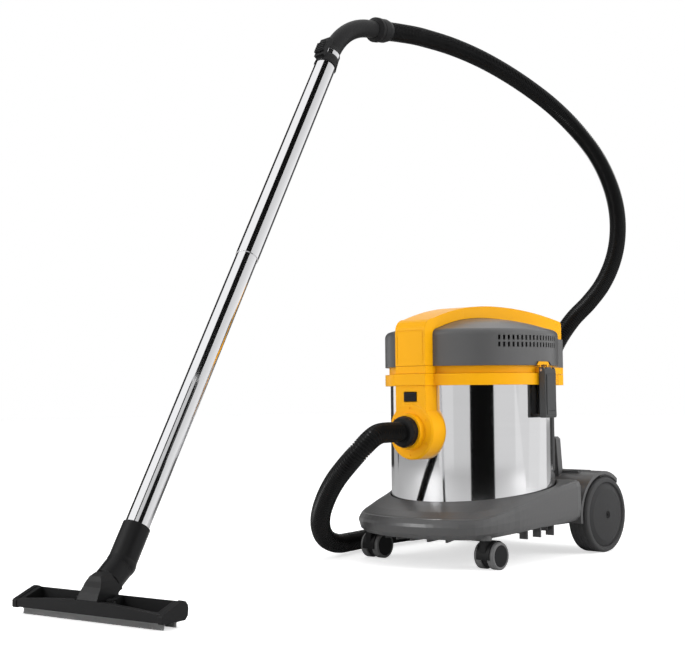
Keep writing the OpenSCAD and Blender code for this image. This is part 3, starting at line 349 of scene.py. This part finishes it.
def box_faces(k):
    """The faces of a box with four vertices below, from k on, and four above."""
    sides = [(k + j, k + (j + 1) % 4, k + 4 + (j + 1) % 4, k + 4 + j) for j in range(4)]
    return sides + [(k + 3, k + 2, k + 1, k), (k + 4, k + 5, k + 6, k + 7)]


def scatter(i, row):
    """A number from 0 to 1 that looks random and is the same in each run."""
    value = math.sin(i * 12.9898 + row * 78.233) * 43758.5453
    return value - math.floor(value)


def fibres(name, node, y, lean):
    """A holder with three rows of fibres, which lean by so much across the head."""
    verts = [on_head(sx * STRIP_LENGTH / 2, y + sy * HOLDER_HALF, z)
             for z in (HOLDER_BOTTOM, HOLDER_TOP) for sx, sy in CORNERS]
    faces = box_faces(0)
    width = STRIP_LENGTH - 2 * STRIP_END
    for row in (-1, 0, 1):
        for i in range(FIBRES_IN_ROW):
            wob = scatter(i, row)
            u = (i + 0.5 + ROW_SHIFT * row) / FIBRES_IN_ROW * width - width / 2
            foot = on_head(u, y + row * ROW_GAP, FIBRE_TOP)
            tip = foot + across * (lean + (wob - 0.5) * TIP_SPREAD_ACROSS)
            tip = tip + along * (wob - 0.5) * TIP_SPREAD_ALONG
            tip.z = TIP_LOWEST + TIP_UNEVEN * wob
            faces += box_faces(len(verts))
            for p, f in ((foot, 1.0), (tip, TIP_SCALE)):
                for sx, sy in CORNERS:
                    verts.append(p + along * sx * FIBRE_HALF_X * f + across * sy * FIBRE_HALF_Y * f)
    o = new_object(name, verts, faces, smooth=False)
    o.data.materials.append(BRISTLE)
    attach(o, "floor_head")
    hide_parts(node)


fibres("fibres_front", "bristle_front", -0.012, -0.0016)
fibres("fibres_rear", "bristle_rear", 0.012, 0.0010)

# ---- floor and backdrop ------------------------------------------------------------
FLOOR_HALF = 14
FLOOR_TONE = 0.86
FLOOR_TONE_REFLECTED = 0.57
FLOOR_GLOW_CAMERA = 0.58
FLOOR_GLOW_ALL = 0.04
WORLD_DIFFUSE = 0.42
WORLD_SEEN = 1.0


def plain_stage(name, verts, faces):
    o = new_object(name, verts, faces, smooth=False)
    return o


def combine(tree, operation, a, b):
    node = tree.nodes.new("ShaderNodeMath")
    node.operation = operation
    for socket, value in zip(node.inputs, (a, b)):
        if isinstance(value, float):
            socket.default_value = value
        else:
            tree.links.new(value, socket)
    return node.outputs[0]


def blend(tree, value, low, high):
    node = tree.nodes.new("ShaderNodeMapRange")
    node.inputs["To Min"].default_value = low
    node.inputs["To Max"].default_value = high
    tree.links.new(value, node.inputs["Value"])
    return node.outputs["Result"]


def seen_rays(tree, path):
    """1 for rays of the camera, of reflections and through glass, and 0 for diffuse light."""
    seen = combine(tree, "MAXIMUM", path["Is Camera Ray"], path["Is Glossy Ray"])
    return combine(tree, "MAXIMUM", seen, path["Is Transmission Ray"])


def add_floor():
    """A pale floor that the camera sees as white, and that reflections see darker."""
    h = FLOOR_HALF
    floor = plain_stage("floor", [(-h, -h, 0), (h, -h, 0), (h, h, 0), (-h, h, 0)], [(0, 1, 2, 3)])
    m = bpy.data.materials.new("floor_white")
    m.use_nodes = True
    tree = m.node_tree
    bsdf = tree.nodes["Principled BSDF"]
    bsdf.inputs["Roughness"].default_value = 0.6
    bsdf.inputs["Specular IOR Level"].default_value = 0.2
    path = tree.nodes.new("ShaderNodeLightPath").outputs
    tone = blend(tree, path["Is Glossy Ray"], FLOOR_TONE, FLOOR_TONE_REFLECTED)
    tree.links.new(tone, bsdf.inputs["Base Color"])
    glow = tree.nodes.new("ShaderNodeEmission")
    glow.inputs["Color"].default_value = (1, 1, 1, 1)
    glow_all = combine(tree, "MULTIPLY", seen_rays(tree, path), FLOOR_GLOW_ALL)
    glow_camera = combine(tree, "MULTIPLY", path["Is Camera Ray"], FLOOR_GLOW_CAMERA)
    tree.links.new(combine(tree, "ADD", glow_all, glow_camera), glow.inputs["Strength"])
    add = tree.nodes.new("ShaderNodeAddShader")
    tree.links.new(bsdf.outputs[0], add.inputs[0])
    tree.links.new(glow.outputs[0], add.inputs[1])
    tree.links.new(add.outputs[0], tree.nodes["Material Output"].inputs["Surface"])
    floor.data.materials.append(m)


def add_world():
    world = bpy.data.worlds.new("studio")
    scene.world = world
    world.use_nodes = True
    tree = world.node_tree
    sky = tree.nodes["Background"]
    sky.inputs["Color"].default_value = (1, 1, 1, 1)
    path = tree.nodes.new("ShaderNodeLightPath").outputs
    strength = blend(tree, seen_rays(tree, path), WORLD_DIFFUSE, WORLD_SEEN)
    tree.links.new(strength, sky.inputs["Strength"])


add_floor()
add_world()

# ---- lamps -------------------------------------------------------------------------
LAMP_AIM = Vector((0, 0, 0.35))


def polar(angle, dist, z):
    """A place seen from the drum's axis, by its angle to the right of the camera, in degrees."""
    a = math.atan2(CAM.y, CAM.x) + math.radians(angle)
    return Vector((dist * math.cos(a), dist * math.sin(a), z))


def lamp(name, angle, dist, z, size, energy):
    """A soft box that lights the object and that no reflection shows."""
    d = bpy.data.lights.new(name, "AREA")
    d.shape = "RECTANGLE"
    d.size, d.size_y = size
    d.energy = energy
    o = objs.new(name, d)
    scene.collection.objects.link(o)
    o.location = polar(angle, dist, z)
    o.rotation_euler = (LAMP_AIM - o.location).to_track_quat("-Z", "Y").to_euler()
    o.visible_glossy = False


lamp("box_left", -62, 2.6, 1.3, (1.6, 2.2), 37)
lamp("box_right", 74, 2.6, 1.3, (1.6, 2.2), 47)
lamp("box_top", 20, 0.9, 3.0, (2.4, 2.4), 28)

# ---- cards that only reflections see -----------------------------------------------
BLACK_CARD = 0.004
BLACK_BAND = 0.006


def card(level):
    """A card's material, as bright as level, where the white studio is 1."""
    m = bpy.data.materials.new("card_%02d" % round(level * 100))
    m.use_nodes = True
    bsdf = m.node_tree.nodes["Principled BSDF"]
    bsdf.inputs["Base Color"].default_value = (0, 0, 0, 1)
    bsdf.inputs["Specular IOR Level"].default_value = 0.0
    bsdf.inputs["Emission Color"].default_value = (1, 1, 1, 1)
    bsdf.inputs["Emission Strength"].default_value = level
    return m


def hang(name, verts, faces, level):
    o = plain_stage(name, verts, faces)
    o.data.materials.append(card(level))
    o.visible_camera = False
    o.visible_shadow = False
    o.visible_diffuse = False


def flag(name, a0, a1, dist, z0, z1, level):
    """An upright card around the drum's axis, from the angle a0 to a1."""
    steps = 6
    pts = [polar(a0 + (a1 - a0) * i / steps, dist, 0) for i in range(steps + 1)]
    verts = [(p.x, p.y, z) for z in (z0, z1) for p in pts]
    hang(name, verts, [(i, i + 1, i + steps + 2, i + steps + 1) for i in range(steps)], level)


WAND_FOOT = Vector((0.005, -0.868, 0.074))
WAND_DIR = Vector((-0.0986, 0.5371, 0.8377))
WAND_LENGTH = 1.06
WAND_R = 0.0195
WAND_CARD_DIST = 2.6
WAND_START = -0.05
WAND_JOIN = 0.30
WAND_END = 1.05


def wand_card(name, lo, hi, level, s0=WAND_START, s1=WAND_END):
    """What the wand reflects to the camera between two turned angles, lo and hi, right of its middle line."""
    rows, cols, verts = 7, 4, []
    for i in range(rows):
        x = WAND_FOOT + WAND_DIR * WAND_LENGTH * (s0 + (s1 - s0) * i / (rows - 1))
        v = (x - CAM).normalized()
        n0 = (-v + WAND_DIR * v.dot(WAND_DIR)).normalized()
        side = WAND_DIR.cross(n0)
        for j in range(cols):
            a = math.radians((lo + (hi - lo) * j / (cols - 1)) / 2)
            n = n0 * math.cos(a) + side * math.sin(a)
            verts.append(x + n * WAND_R + (v - n * 2 * v.dot(n)) * WAND_CARD_DIST)
    faces = [(i * cols + j, i * cols + j + 1, (i + 1) * cols + j + 1, (i + 1) * cols + j)
             for i in range(rows - 1) for j in range(cols - 1)]
    hang(name, verts, faces, level)


wand_card("wand_band", -36, 15, BLACK_BAND, s0=WAND_JOIN)
wand_card("wand_band_low", -44, -34, BLACK_BAND, s1=WAND_JOIN)
wand_card("wand_strip_low", -34, -4, 0.62, s1=WAND_JOIN)
wand_card("wand_band_low2", -4, 26, BLACK_BAND, s1=WAND_JOIN)
FADE_START = 16
FADE_STEP = 15
for k, tone in enumerate((0.68, 0.72, 0.76, 0.81, 0.87, 0.93)):
    wand_card("wand_fade_%d" % k, FADE_START + FADE_STEP * k, FADE_START + FADE_STEP * (k + 1), tone)
wand_card("wand_edge_left", -160, -116, 0.02)
wand_card("wand_edge_right", 126, 158, 0.10)

flag("flag_front", -2.5, 28.5, 1.4, 0.0, 0.9, BLACK_CARD)
flag("flag_grey_left", -46, -25, 3.2, 0.0, 2.2, 0.80)
flag("flag_grey_middle", -25, -3, 3.2, 0.0, 2.2, 0.70)
flag("flag_grey_right", 29, 60, 3.2, 0.0, 2.2, 0.78)
flag("flag_pale_right", 60, 92, 3.2, 0.0, 2.2, 0.90)
flag("flag_back_right", 136, 168, 3.2, 0.0, 2.0, 0.05)
flag("flag_back_left", -168, -143, 3.2, 0.0, 2.0, 0.05)
flag("card_shine", -64, -46, 5.6, 1.6, 3.9, 14.0)
hang("card_high", [polar(-30, 5.2, 3.1), polar(50, 5.2, 3.1), polar(50, 4.2, 5.1), polar(-30, 4.2, 5.1)],
     [(0, 1, 2, 3)], 1.3)

scene.view_settings.view_transform = "Standard"
